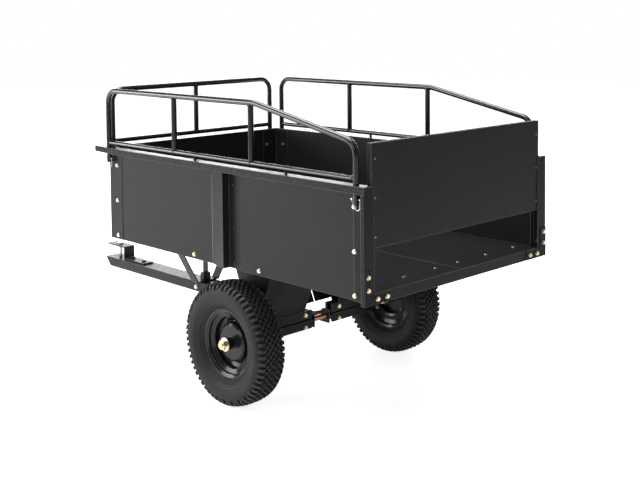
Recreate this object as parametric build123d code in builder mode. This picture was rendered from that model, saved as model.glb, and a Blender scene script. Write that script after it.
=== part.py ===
from build123d import *
import os
from math import sin, cos, radians, hypot, sqrt

os.makedirs("parts", exist_ok=True)

# ---------------------------------------------------------------- driving dimensions (mm)
# Frame: +X forward along the drawbar, +Y left, +Z up, ground at z = 0,
# origin on the ground in the middle of the overall length.
AX = -328.0            # x of the wheel axle
Z_AX = 203.0           # axle height = tyre radius
R_ROD = 9.525          # 3/4 in axle rod
R_TYRE, W_TYRE = 203.0, 113.0      # 16 in tyre
Y_WHEEL = 385.0        # centre of each wheel
R_FLANGE, W_RIM = 114.0, 64.6      # 8 in rim

Z_BOT, Z_FLOOR, Z_TOP = 455.0, 486.0, 790.0   # side panel bottom, floor surface, panel top
Z_RIM = 792.2          # top of the rolled rim
T = 1.2                # sheet thickness of the panels
Y_IN, Y_OUT = 408.5, 410.0         # inner and outer face of a side panel
Y_RIM = 443.0          # outer face of the rim lip
X_WALL = 672.0         # inner face of the front wall, from the axle
X_REAR = -644.0        # rear face of the posts, from the axle
X_FRIM = 742.0         # front edge of the front rim, from the axle

R_TUBE = 9.5           # 19 mm rail tube
Z_RAIL = 1000.0        # centre of the rail's top bar
Y_RAIL, X_RAIL_F, X_RAIL_R = 425.0, 655.0, -600.0
X_FRAIL, Y_FRAIL = 688.0, 387.0
Z_LEG, Z_PIN = 738.0, 752.0        # lower end of the rail legs, lock pin height

GATE_UP = 126.0        # the tailgate stands this far above its closed place
GATE_H = 299.0
Y_GATE = 405.5

TONGUE_W, TONGUE_TOP, TONGUE_BOT, TONGUE_T = 76.0, 221.0, 183.0, 3.0
X_TIP = 1302.0         # tongue tip, from the axle
GAP_TOP = 271.0        # under side of the upper hitch plate
X_HPIN, R_HPIN = 1245.0, 7.94      # 5/8 in hitch pin

X_SUP0, X_SUP1 = 625.0, 665.0      # front support strap, from the axle


def X(x):
    """x measured forward from the axle, in the part's frame"""
    return AX + x


def ribbon(points, t, side=1):
    """closed outline of a strip of thickness t laid on the left (side=1) or right (side=-1) of a path"""
    n = len(points)
    offs = []
    for i in range(n):
        dirs = []
        if i > 0:
            a, b = points[i - 1], points[i]
            dirs.append(((b[0] - a[0]), (b[1] - a[1])))
        if i < n - 1:
            a, b = points[i], points[i + 1]
            dirs.append(((b[0] - a[0]), (b[1] - a[1])))
        norms = []
        for dx, dy in dirs:
            L = hypot(dx, dy)
            norms.append((-dy / L * side, dx / L * side))
        if len(norms) == 1:
            nx, ny = norms[0]
            k = t
        else:
            nx, ny = norms[0][0] + norms[1][0], norms[0][1] + norms[1][1]
            L = hypot(nx, ny)
            nx, ny = nx / L, ny / L
            k = t / (nx * norms[0][0] + ny * norms[0][1])
        offs.append((points[i][0] + nx * k, points[i][1] + ny * k))
    return list(points) + offs[::-1]


def shifted(points):
    return [(X(a), b) for a, b in points]


def plane_at(origin, normal, x_dir):
    return Plane(origin=origin, x_dir=x_dir, z_dir=normal)


def local(plane, pts):
    out = []
    for q in pts:
        v = plane.to_local_coords(Vector(*q))
        out.append((v.X, v.Y))
    return out


def bolt_row(plane, pts, grip, r_head=7.2, r_shank=4.0, h_head=5.0, nut=True, h_nut=6.0, washer=1.2):
    """hex flange bolts standing on a face: washer face, hex head, shank, and a nut on the far side of the grip"""
    uv = local(plane, pts)
    with BuildSketch(plane, mode=Mode.PRIVATE) as seat:
        with Locations(*uv):
            Circle(r_head)
    extrude(seat.sketch, amount=washer)
    with BuildSketch(plane.offset(washer), mode=Mode.PRIVATE) as hexes:
        with Locations(*uv):
            RegularPolygon(r_head * 0.9, 6)
    extrude(hexes.sketch, amount=h_head - washer)
    tail = grip + (h_nut + 1.5 if nut else 3.0)
    with BuildSketch(plane, mode=Mode.PRIVATE) as shanks:
        with Locations(*uv):
            Circle(r_shank)
    extrude(shanks.sketch, amount=-tail)
    if nut:
        with BuildSketch(plane.offset(-grip), mode=Mode.PRIVATE) as nuts:
            with Locations(*uv):
                RegularPolygon(r_shank * 1.85, 6)
                Circle(r_shank + 0.06, mode=Mode.SUBTRACT)
        extrude(nuts.sketch, amount=-h_nut)


def holes(plane, pts, r, depth):
    """round holes cut both ways through a sheet"""
    uv = local(plane, pts)
    with BuildSketch(plane, mode=Mode.PRIVATE) as rings:
        with Locations(*uv):
            Circle(r)
    extrude(rings.sketch, amount=depth, both=True, mode=Mode.SUBTRACT)


LEFT = lambda y: plane_at((0, y, 0), (0, 1, 0), (1, 0, 0))
RIGHT = lambda y: plane_at((0, -y, 0), (0, -1, 0), (1, 0, 0))
BACK = lambda x: plane_at((X(x), 0, 0), (-1, 0, 0), (0, 1, 0))
FRONT = lambda x: plane_at((X(x), 0, 0), (1, 0, 0), (0, 1, 0))
UP = lambda z: plane_at((0, 0, z), (0, 0, 1), (1, 0, 0))

R_B, R_H = 4.0, 4.3    # M8 shank and clearance hole

# fastener places, x from the axle
CORNER = [(625.0, 727.0), (625.0, 598.0), (625.0, 470.0)]
SEAM = [(-35.0, 728.0), (-35.0, 590.0), (-35.0, 472.0)]
BOTTOM = [(172.0, 470.0), (-161.0, 470.0)]
POST = [(-580.0, 727.0), (-580.0, 598.0), (-580.0, 470.0)]
RIVET = [(-632.0, 760.0), (-632.0, 619.0), (-632.0, 506.0)]
FWALL = [(352.0, 727.0), (352.0, 598.0), (352.0, 470.0)]       # y, z on the front wall
GUSS_P = [(428.0, 537.0), (428.0, 500.0)]                      # y, z on the post
GUSS_R = [(390.0, 470.0), (350.0, 470.0)]                      # y, z on the cross rail
FSCREW = [(-580.0, 55.0), (-580.0, 200.0), (-580.0, 350.0)]    # x, y on the floor
CLAMP_Y = [82.0, 284.0]
Z_CU, Z_CL = 231.0, 187.5


def xz(pairs, y):
    return [(X(a), y, b) for a, b in pairs]


# ---------------------------------------------------------------- floor
with BuildPart() as floor_panel_left:
    with BuildSketch(Plane.XY.offset(Z_FLOOR - T)):
        with BuildLine():
            Polyline(*shifted([(-641.7, 0.3), (671.8, 0.3), (671.8, 408.3), (4, 408.3), (4, 399.5),
                               (-78, 399.5), (-78, 408.3), (-641.7, 408.3)]), close=True)
        make_face()
    extrude(amount=T)
    # folded skirts along the side, the front and the centre seam
    for x0, x1 in ((4, 671.8), (-641.7, -78)):
        with BuildSketch(Plane.XY.offset(Z_BOT + 1)):
            with Locations((X((x0 + x1) / 2), 408.3 - T / 2)):
                Rectangle(x1 - x0, T)
        extrude(amount=Z_FLOOR - Z_BOT - 1)
    with BuildSketch(Plane.XY.offset(Z_BOT + 1)):
        with Locations((X(671.8 - T / 2), 204.3)):
            Rectangle(T, 408)
    extrude(amount=Z_FLOOR - Z_BOT - 1)
    with BuildSketch(Plane.XY.offset(Z_BOT + 11)):
        with Locations((X(15), 0.3 + T / 2)):
            Rectangle(1130, T)
    extrude(amount=Z_FLOOR - Z_BOT - 11)
    holes(LEFT(405), xz([CORNER[2]] + [POST[2]] + BOTTOM, 405), R_H, 8)
    holes(FRONT(671), [(X(671), FWALL[2][0], FWALL[2][1])], R_H, 8)
    holes(UP(Z_FLOOR), [(X(a), b, Z_FLOOR) for a, b in FSCREW], 3.3, 4)
floor_panel_left.part.label = "floor_panel_left"

with BuildPart() as floor_panel_right:
    add(mirror(floor_panel_left.part, about=Plane.XZ, mode=Mode.PRIVATE))
floor_panel_right.part.label = "floor_panel_right"

# ---------------------------------------------------------------- side panels
with BuildPart() as side_panel_front_left:
    with BuildSketch(Plane.XY.offset(Z_BOT)):
        with BuildLine():
            Polyline(*shifted(ribbon([(670, 410), (72, 410), (-8, 432), (-8, 404), (-64, 404)], T, 1)), close=True)
        make_face()
    extrude(amount=Z_TOP - Z_BOT)
    holes(LEFT(409), xz(CORNER + [BOTTOM[0]], 409), R_H, 6)
    holes(LEFT(403), xz(SEAM, 403), 3.3, 4)
side_panel_front_left.part.label = "side_panel_front_left"

with BuildPart() as side_panel_rear_left:
    with BuildSketch(Plane.XY.offset(Z_BOT)):
        with BuildLine():
            Polyline(*shifted(ribbon([(-14, 402.7), (-66, 402.7), (-72, 410), (-641.6, 410)], T, 1)), close=True)
        make_face()
    extrude(amount=Z_TOP - Z_BOT)
    holes(LEFT(409), xz(POST + [BOTTOM[1]], 409), R_H, 6)
    holes(LEFT(409), xz(RIVET, 409), 3.3, 6)
    holes(LEFT(401), xz(SEAM, 401), 3.3, 3)
side_panel_rear_left.part.label = "side_panel_rear_left"

with BuildPart() as side_panel_front_right:
    add(mirror(side_panel_front_left.part, about=Plane.XZ, mode=Mode.PRIVATE))
side_panel_front_right.part.label = "side_panel_front_right"

with BuildPart() as side_panel_rear_right:
    add(mirror(side_panel_rear_left.part, about=Plane.XZ, mode=Mode.PRIVATE))
side_panel_rear_right.part.label = "side_panel_rear_right"

# ---------------------------------------------------------------- front wall with wrapped sides
with BuildPart() as front_panel:
    with BuildSketch(Plane.XY.offset(Z_BOT)):
        with BuildLine():
            Polyline(*shifted(ribbon([(598, 411.6), (673.6, 411.6), (673.6, -411.6), (598, -411.6)], T, -1)), close=True)
        make_face()
    extrude(amount=Z_TOP - Z_BOT)
    holes(LEFT(411), xz(CORNER, 411), R_H, 6)
    holes(RIGHT(411), xz(CORNER, -411), R_H, 6)
    holes(FRONT(673), [(X(673), s * a, b) for a, b in FWALL for s in (1, -1)], R_H, 6)
front_panel.part.label = "front_panel"

with BuildPart() as corner_angles:
    with BuildSketch(Plane.XY.offset(Z_FLOOR + 1.5)):
        with BuildLine():
            Polyline(*shifted(ribbon([(598, 408.4), (671.9, 408.4), (671.9, 336)], T, -1)), close=True)
        make_face()
    extrude(amount=Z_TOP - Z_FLOOR - 2.5)
    holes(LEFT(408), xz(CORNER[:2], 408), R_H, 6)
    holes(FRONT(671), [(X(671), a, b) for a, b in FWALL[:2]], R_H, 6)
    mirror(about=Plane.XZ)
corner_angles.part.label = "corner_angles"

# ---------------------------------------------------------------- rolled rims
T_RIM = 2.0
with BuildPart() as side_rim_left:
    with BuildSketch(Plane.YZ.offset(X(X_REAR))):
        with BuildLine():
            Polyline(*ribbon([(407.5, Z_RIM), (Y_RIM, Z_RIM), (Y_RIM, 770.0)], T_RIM, -1), close=True)
        make_face()
    extrude(amount=616 - X_REAR)
    holes(UP(Z_RIM), [(X(X_RAIL_R), Y_RAIL, Z_RIM)], 9.9, 6)
side_rim_left.part.label = "side_rim_left"

with BuildPart() as side_rim_right:
    add(mirror(side_rim_left.part, about=Plane.XZ, mode=Mode.PRIVATE))
side_rim_right.part.label = "side_rim_right"

with BuildPart() as front_rim:
    with BuildSketch(Plane.XY.offset(Z_RIM - T_RIM)):
        with BuildLine():
            Polyline(*shifted([(617, Y_RIM), (X_FRIM, 431), (X_FRIM, -431), (617, -Y_RIM), (617, -407.5),
                               (671, -407.5), (671, 407.5), (617, 407.5)]), close=True)
        make_face()
    extrude(amount=T_RIM)
    with BuildSketch(Plane.XY.offset(771.5)):
        with BuildLine():
            Polyline(*shifted(ribbon([(617, Y_RIM), (X_FRIM, 431), (X_FRIM, -431), (617, -Y_RIM)], T_RIM, -1)), close=True)
        make_face()
    extrude(amount=Z_RIM - 771.5)
    holes(UP(Z_RIM), [(X(X_RAIL_F), s * Y_RAIL, Z_RIM) for s in (1, -1)] + [(X(X_FRAIL), s * Y_FRAIL, Z_RIM) for s in (1, -1)], 9.9, 6)
front_rim.part.label = "front_rim"

# ---------------------------------------------------------------- rear posts, guides, cross rail, gussets
with BuildPart() as rear_post_left:
    with BuildSketch(Plane.XY.offset(Z_BOT)):
        with BuildLine():
            Polyline(*shifted([(-644, 399), (-642, 399), (-642, 410.05), (-576, 410.05), (-576, 412.05), (-642, 412.05),
                               (-642, 441), (-633, 441), (-633, 443), (-644, 443)]), close=True)
        make_face()
    extrude(amount=Z_TOP - Z_BOT)
    # the lip stops under the rolled rim
    with BuildSketch(Plane.XY.offset(769.8)):
        with Locations((X(-638), 443.9)):
            Rectangle(20, 6)
    extrude(amount=30, mode=Mode.SUBTRACT)
    holes(LEFT(411), xz(POST, 411), R_H, 6)
    holes(LEFT(411), xz(RIVET, 411), 3.3, 6)
    holes(BACK(-643), [(X(-643), a, b) for a, b in GUSS_P], R_H, 6)
rear_post_left.part.label = "rear_post_left"

with BuildPart() as rear_post_right:
    add(mirror(rear_post_left.part, about=Plane.XZ, mode=Mode.PRIVATE))
rear_post_right.part.label = "rear_post_right"

with BuildPart() as tailgate_guides:
    with BuildSketch(Plane.XY.offset(Z_FLOOR + 1.5)):
        with BuildLine():
            Polyline(*shifted(ribbon([(-641.7, 408.4), (-621, 408.4), (-621, 390)], T, -1)), close=True)
        make_face()
    extrude(amount=Z_TOP - Z_FLOOR - 2.5)
    holes(LEFT(408), xz(RIVET, 408), 3.3, 6)
    mirror(about=Plane.XZ)
tailgate_guides.part.label = "tailgate_guides"

with BuildPart() as rear_cross_rail:
    # C section under the rear edge of the floor
    with BuildSketch(Plane.XZ.offset(-398.5)):
        with BuildLine():
            Polyline(*shifted(ribbon([(-556, 484.4), (-642.0, 484.4), (-642.0, 485.9)], 2.0, 1)), close=True)
        make_face()
    extrude(amount=797)
    with BuildSketch(Plane.XZ.offset(-398.5)):
        with BuildLine():
            Polyline(*shifted([(-644, 454), (-606, 454), (-606, 456), (-642, 456), (-642, 485.9), (-644, 485.9)]), close=True)
        make_face()
    extrude(amount=797)
    holes(BACK(-643), [(X(-643), s * a, b) for a, b in GUSS_R for s in (1, -1)], R_H, 6)
    holes(UP(484), [(X(a), s * b, 484) for a, b in FSCREW for s in (1, -1)], 3.3, 6)
rear_cross_rail.part.label = "rear_cross_rail"

with BuildPart() as corner_gussets:
    with BuildSketch(BACK(-644)):
        with BuildLine():
            Polyline(*local(BACK(-644), [(0, y, z) for y, z in
                     [(441.5, 455), (441.5, 553), (416, 553), (414, 551), (414, 490), (404, 484), (338, 484), (333, 479), (333, 455)]]), close=True)
        make_face()
    extrude(amount=3.0)
    holes(BACK(-645), [(X(-645), a, b) for a, b in GUSS_P + GUSS_R], R_H, 6)
    mirror(about=Plane.XZ)
corner_gussets.part.label = "corner_gussets"

# ---------------------------------------------------------------- axle brackets, carriers and clamp bars
C_IN, C_OUT, C_LIP = 9.8, 12.4, 19.0
T_BR = 2.6
with BuildPart() as axle_bracket_left:
    # folded pedestal: front and rear leaves splay from the axle up to the floor, each with a ledge and a lip for the clamp bolts
    for s in (1, -1):
        with BuildSketch(Plane.XZ.offset(-300)):
            with BuildLine():
                Polyline(*shifted(ribbon([(s * (C_LIP - T_BR), 217), (s * (C_LIP - T_BR), 243), (s * C_OUT, 243),
                                          (s * 117, 484.3), (s * 147, 484.3)], T_BR, -s)), close=True)
            make_face()
        extrude(amount=218)
        # inboard run of the ledge and lip
        with BuildSketch(Plane.XZ.offset(-83)):
            with BuildLine():
                Polyline(*shifted(ribbon([(s * (C_LIP - T_BR), 217), (s * (C_LIP - T_BR), 243), (s * C_OUT, 243)], T_BR, -s)), close=True)
            make_face()
        extrude(amount=32)
    # the front leaf runs on to the middle, above the tongue
    k = (484.3 - 243) / (117 - C_OUT)
    zf = 256.0
    xf = C_OUT + (zf - 243) / k
    with BuildSketch(Plane.XZ.offset(-83)):
        with BuildLine():
            Polyline(*shifted([(xf, zf), (117, 484.3), (119.83, 484.3), (xf + 2.83, zf)]), close=True)
        make_face()
    extrude(amount=80)
    # closing plate at the wheel side
    with BuildSketch(Plane.XZ.offset(-300)):
        with BuildLine():
            Polyline(*shifted([(-13, 243.2), (13, 243.2), (117, 484.2), (-117, 484.2)]), close=True)
        make_face()
    extrude(amount=2.6)
    holes(BACK(0), [(X(0), y, Z_CU) for y in CLAMP_Y], R_H, 24)
axle_bracket_left.part.label = "axle_bracket_left"

with BuildPart() as axle_bracket_right:
    add(mirror(axle_bracket_left.part, about=Plane.XZ, mode=Mode.PRIVATE))
axle_bracket_right.part.label = "axle_bracket_right"

with BuildPart() as axle_carriers:
    # two side plates with a saddle plate welded between them over the rod
    with BuildSketch(Plane.XZ.offset(-300)):
        for s in (1, -1):
            with Locations((X(s * (C_IN + C_OUT) / 2), (181 + 242) / 2)):
                Rectangle(C_OUT - C_IN - 0.05, 242 - 181)
        with Locations((X(0), Z_AX + R_ROD + 0.05 + 1.5)):
            Rectangle(2 * C_IN + 0.6, 3)
    extrude(amount=249)
    holes(BACK(0), [(X(0), y, z) for y in CLAMP_Y for z in (Z_CU, Z_CL)], R_H, 24)
    mirror(about=Plane.XZ)
axle_carriers.part.label = "axle_carriers"

with BuildPart() as axle_clamp_bars:
    for y0 in (300, -51):
        for s in (1, -1):
            with BuildSketch(Plane.XZ.offset(-y0)):
                with BuildLine():
                    Polyline(*shifted(ribbon([(s * C_OUT, 210), (s * C_LIP, 210), (s * C_LIP, 180), (s * C_OUT, 180)], 2.4, -s)), close=True)
                make_face()
            extrude(amount=249)
    holes(BACK(0), [(X(0), s * y, Z_CL) for y in CLAMP_Y for s in (1, -1)], R_H, 24)
axle_clamp_bars.part.label = "axle_clamp_bars"

with BuildPart() as axle_rod:
    with BuildSketch(Plane.XZ.offset(-444)):
        with Locations((X(0), Z_AX)):
            Circle(R_ROD)
    extrude(amount=888)
    chamfer(axle_rod.edges().filter_by(GeomType.CIRCLE), 1.2)
axle_rod.part.label = "axle_rod"

with BuildPart() as axle_collars:
    for s in (1, -1):
        with BuildSketch(plane_at((X(0), s * 330, Z_AX), (0, s, 0), (1, 0, 0))):
            Circle(17)
            Circle(R_ROD + 0.02, mode=Mode.SUBTRACT)
        extrude(amount=17)
axle_collars.part.label = "axle_collars"

with BuildPart() as axle_nuts:
    for s in (1, -1):
        pl = plane_at((X(0), s * 422.2, Z_AX), (0, s, 0), (1, 0, 0))
        with BuildSketch(pl):
            Circle(22.5)
            Circle(R_ROD + 0.02, mode=Mode.SUBTRACT)
        extrude(amount=2.8)
        with BuildSketch(pl.offset(2.85)):
            RegularPolygon(16.5, 6)
            Circle(R_ROD + 0.02, mode=Mode.SUBTRACT)
        extrude(amount=13)
axle_nuts.part.label = "axle_nuts"

with BuildPart() as clamp_bolts:
    for y in CLAMP_Y:
        for s in (1, -1):
            bolt_row(BACK(-C_LIP), [(X(-C_LIP), s * y, Z_CU), (X(-C_LIP), s * y, Z_CL)], 2 * C_LIP, r_head=8.0, h_head=5.5)
clamp_bolts.part.label = "clamp_bolts"

# bolts up through the bracket flanges into the floor
with BuildPart() as underbody_bolts:
    for s in (1, -1):
        for x in (-133.0, 133.0):
            pts = [(X(x), s * y, Z_FLOOR) for y in (110.0, 270.0)]
            bolt_row(UP(Z_FLOOR), pts, 5.1, r_head=7.5, h_head=3.2, r_shank=3.9)
    bolt_row(UP(Z_FLOOR), [(X(645), s * 216, Z_FLOOR) for s in (1, -1)], 7.7, r_head=7.5, h_head=3.2, r_shank=3.9)
underbody_bolts.part.label = "underbody_bolts"

# ---------------------------------------------------------------- front support and latch
with BuildPart() as front_support:
    with BuildSketch(Plane.YZ.offset(X(X_SUP0))):
        with BuildLine():
            Polyline(*ribbon([(-232, 479.3), (-196, 479.3), (-52, 221.5), (52, 221.5), (196, 479.3), (232, 479.3)], 5.0, 1), close=True)
        make_face()
    extrude(amount=X_SUP1 - X_SUP0)
    with BuildSketch(Plane.XY.offset(218)):
        with Locations((X(645), 0)):
            Rectangle(9.0, 23.0)
    extrude(amount=12, mode=Mode.SUBTRACT)
    holes(UP(484), [(X(645), s * 216, 484) for s in (1, -1)], R_H, 8)
front_support.part.label = "front_support"

with BuildPart() as latch_guide:
    with BuildSketch(Plane.XY.offset(226.5)):
        with Locations((X(645), 0)):
            RectangleRounded(26, 34, 3)
            Rectangle(9.0, 23.0, mode=Mode.SUBTRACT)
    extrude(amount=28)
latch_guide.part.label = "latch_guide"

with BuildPart() as latch_bar:
    with BuildSketch(Plane.XZ.offset(-11)):
        with BuildLine():
            Polyline(*shifted([(641, 221.7), (649, 221.7), (649, 402), (690, 402), (690, 410), (641, 410)]), close=True)
        make_face()
    extrude(amount=22)
    fillet(latch_bar.edges().filter_by(Axis.Z).sort_by(Axis.X)[-2:], 6)
latch_bar.part.label = "latch_bar"

for piece, sgn, name in ((floor_panel_left, 1, "floor_panel_left"), (floor_panel_right, -1, "floor_panel_right")):
    with piece:
        holes(UP(Z_FLOOR), [(X(x), sgn * y, Z_FLOOR) for x in (-133.0, 133.0) for y in (110.0, 270.0)] + [(X(645), sgn * 216, Z_FLOOR)], 4.2, 4)
    piece.part.label = name
for piece, sgn, name in ((axle_bracket_left, 1, "axle_bracket_left"), (axle_bracket_right, -1, "axle_bracket_right")):
    with piece:
        holes(UP(483), [(X(x), sgn * y, 483) for x in (-133.0, 133.0) for y in (110.0, 270.0)], 4.2, 6)
    piece.part.label = name

# ---------------------------------------------------------------- bed fasteners
with BuildPart() as panel_bolts:
    for pl, s in ((LEFT, 1), (RIGHT, -1)):
        bolt_row(pl(411.6), xz(CORNER, s * 411.6), 5.0)
        bolt_row(pl(412.05), xz(POST, s * 412.05), 5.5)
        bolt_row(pl(410.0), xz(BOTTOM, s * 410.0), 3.4)
    bolt_row(FRONT(673.6), [(X(673.6), s * a, b) for a, b in FWALL for s in (1, -1)], 3.4)
    for s in (1, -1):
        bolt_row(BACK(-647), [(X(-647), s * a, b) for a, b in GUSS_P + GUSS_R], 5.2)
panel_bolts.part.label = "panel_bolts"

with BuildPart() as seam_bolts:
    for pl, s in ((LEFT, 1), (RIGHT, -1)):
        bolt_row(pl(404.0), xz(SEAM, s * 404.0), 3.3, r_head=6.0, r_shank=3.0, h_head=3.4, h_nut=5, washer=1.0)
seam_bolts.part.label = "seam_bolts"

with BuildPart() as floor_screws:
    pts = [(X(a), s * b, Z_FLOOR) for a, b in FSCREW for s in (1, -1)]
    bolt_row(UP(Z_FLOOR), pts, 4.0, r_head=6.5, r_shank=3.0, h_head=2.6, h_nut=5, washer=1.0)
floor_screws.part.label = "floor_screws"

with BuildPart() as guide_rivets:
    for s, pl, po in ((1, RIGHT, LEFT), (-1, LEFT, RIGHT)):
        # domed heads inside the guide, tails outside on the post flange
        inner = plane_at((0, s * 406.9, 0), (0, -s, 0), (1, 0, 0))
        uv = local(inner, xz(RIVET, s * 406.9))
        with BuildSketch(inner):
            with Locations(*uv):
                Circle(6.0)
        extrude(amount=0.9)
        with BuildSketch(inner):
            with Locations(*uv):
                Circle(3.0)
        extrude(amount=-(412.05 - 406.9 + 1.8))
        outer = plane_at((0, s * 412.05, 0), (0, s, 0), (1, 0, 0))
        uv2 = local(outer, xz(RIVET, s * 412.05))
        with BuildSketch(outer):
            with Locations(*uv2):
                Circle(5.0)
        extrude(amount=2.0)
guide_rivets.part.label = "guide_rivets"

# ---------------------------------------------------------------- tailgate
Z_G0 = Z_FLOOR + 1.5 + GATE_UP
with BuildPart() as tailgate_panel:
    with BuildSketch(Plane.XY.offset(Z_G0)):
        with Locations((X(-632.6), 0)):
            Rectangle(17.2, 2 * Y_GATE)
    extrude(amount=GATE_H)
    with BuildSketch(Plane.XY.offset(Z_G0 + T)):
        with Locations((X(-632.6 + T), 0)):
            Rectangle(17.2, 2 * Y_GATE - 2 * T)
    extrude(amount=GATE_H - 2 * T, mode=Mode.SUBTRACT)
    holes(BACK(-641), [(X(-641), s * 392.0, Z_G0 + h) for s in (1, -1) for h in (32.0, 143.0, 254.0)], 2.4, 3)
tailgate_panel.part.label = "tailgate_panel"

with BuildPart() as tailgate_stiffener:
    # hat section spot welded across the inner face
    with BuildSketch(Plane.YZ.offset(X(-639.65))):
        with Locations((0, Z_G0 + 150)):
            Rectangle(700, 40)
    extrude(amount=12)
    with BuildSketch(Plane.YZ.offset(X(-639.65))):
        with Locations((0, Z_G0 + 150)):
            Rectangle(697, 37)
    extrude(amount=10.5, mode=Mode.SUBTRACT)
tailgate_stiffener.part.label = "tailgate_stiffener"

with BuildPart() as tailgate_screws:
    pts = [(X(-641.2), s * 392.0, Z_G0 + h) for s in (1, -1) for h in (32.0, 143.0, 254.0)]
    pl = BACK(-641.2)
    # low heads on the rear face, inboard of the posts
    uv = local(pl, pts)
    with BuildSketch(pl):
        with Locations(*uv):
            Circle(3.6)
    extrude(amount=1.4)
    with BuildSketch(pl):
        with Locations(*uv):
            Circle(2.2)
    extrude(amount=-8)
tailgate_screws.part.label = "tailgate_screws"

# ---------------------------------------------------------------- tube rails
def leg_pin_holes_x(x, y):
    with BuildSketch(Plane.YZ.offset(X(x) - 20), mode=Mode.PRIVATE) as hole:
        with Locations((y, Z_PIN)):
            Circle(2.7)
    extrude(hole.sketch, amount=40, mode=Mode.SUBTRACT)


with BuildPart() as side_hoop_left:
    with BuildLine() as hoop_path:
        FilletPolyline((X(X_RAIL_F), Y_RAIL, Z_LEG), (X(X_RAIL_F), Y_RAIL, Z_RAIL), (X(-165), Y_RAIL, Z_RAIL),
                       (X(X_RAIL_R), Y_RAIL, 912), (X(X_RAIL_R), Y_RAIL, Z_LEG), radius=[46, 150, 45])
    with BuildSketch(Plane(origin=(X(X_RAIL_F), Y_RAIL, Z_LEG), z_dir=(0, 0, 1))):
        Circle(R_TUBE)
        Circle(R_TUBE - 1.5, mode=Mode.SUBTRACT)
    sweep()
    leg_pin_holes_x(X_RAIL_F, Y_RAIL)
    leg_pin_holes_x(X_RAIL_R, Y_RAIL)
side_hoop_left.part.label = "side_hoop_left"

with BuildPart() as side_infill_left:
    with BuildSketch(Plane.YZ.offset(X(X_RAIL_R))):
        with Locations((Y_RAIL, 810)):
            Circle(8.0)
    extrude(amount=X_RAIL_F - X_RAIL_R)
    for x, zt in ((254, 1000.0), (-146, 1000.0)):
        with BuildSketch(Plane.XY.offset(810)):
            with Locations((X(x), Y_RAIL)):
                Circle(9.3)
        extrude(amount=zt - 810)
    for x in (141, -307):
        with BuildSketch(Plane.XY.offset(Z_RIM + 0.2)):
            with Locations((X(x), Y_RAIL)):
                Circle(4.5)
        extrude(amount=14)
    # coped where it meets the hoop
    with BuildLine() as cope_path:
        FilletPolyline((X(X_RAIL_F), Y_RAIL, Z_LEG), (X(X_RAIL_F), Y_RAIL, Z_RAIL), (X(-165), Y_RAIL, Z_RAIL),
                       (X(X_RAIL_R), Y_RAIL, 912), (X(X_RAIL_R), Y_RAIL, Z_LEG), radius=[46, 150, 45])
    with BuildSketch(Plane(origin=(X(X_RAIL_F), Y_RAIL, Z_LEG), z_dir=(0, 0, 1))):
        Circle(R_TUBE + 0.03)
    sweep(mode=Mode.SUBTRACT)
side_infill_left.part.label = "side_infill_left"

with BuildPart() as side_hoop_right:
    add(mirror(side_hoop_left.part, about=Plane.XZ, mode=Mode.PRIVATE))
side_hoop_right.part.label = "side_hoop_right"

with BuildPart() as side_infill_right:
    add(mirror(side_infill_left.part, about=Plane.XZ, mode=Mode.PRIVATE))
side_infill_right.part.label = "side_infill_right"

FRONT_PTS = [(X(X_FRAIL), Y_FRAIL, Z_LEG), (X(X_FRAIL), Y_FRAIL, Z_RAIL), (X(X_FRAIL), -Y_FRAIL, Z_RAIL), (X(X_FRAIL), -Y_FRAIL, Z_LEG)]
with BuildPart() as front_hoop:
    with BuildLine() as fhoop_path:
        FilletPolyline(*FRONT_PTS, radius=46)
    with BuildSketch(Plane(origin=FRONT_PTS[0], z_dir=(0, 0, 1))):
        Circle(R_TUBE)
        Circle(R_TUBE - 1.5, mode=Mode.SUBTRACT)
    sweep()
    for s in (1, -1):
        with BuildSketch(Plane.XZ.offset(-(s * Y_FRAIL + 20))):
            with Locations((X(X_FRAIL), Z_PIN)):
                Circle(2.7)
        extrude(amount=40, mode=Mode.SUBTRACT)
front_hoop.part.label = "front_hoop"

with BuildPart() as front_infill:
    with BuildSketch(Plane.XZ.offset(-Y_FRAIL)):
        with Locations((X(X_FRAIL), 809)):
            Circle(8.0)
    extrude(amount=2 * Y_FRAIL)
    with BuildSketch(Plane.XY.offset(809)):
        with Locations((X(X_FRAIL), 0)):
            Circle(9.3)
    extrude(amount=Z_RAIL - 809)
    with BuildLine() as fcope_path:
        FilletPolyline(*FRONT_PTS, radius=46)
    with BuildSketch(Plane(origin=FRONT_PTS[0], z_dir=(0, 0, 1))):
        Circle(R_TUBE + 0.03)
    sweep(mode=Mode.SUBTRACT)
front_infill.part.label = "front_infill"

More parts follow.
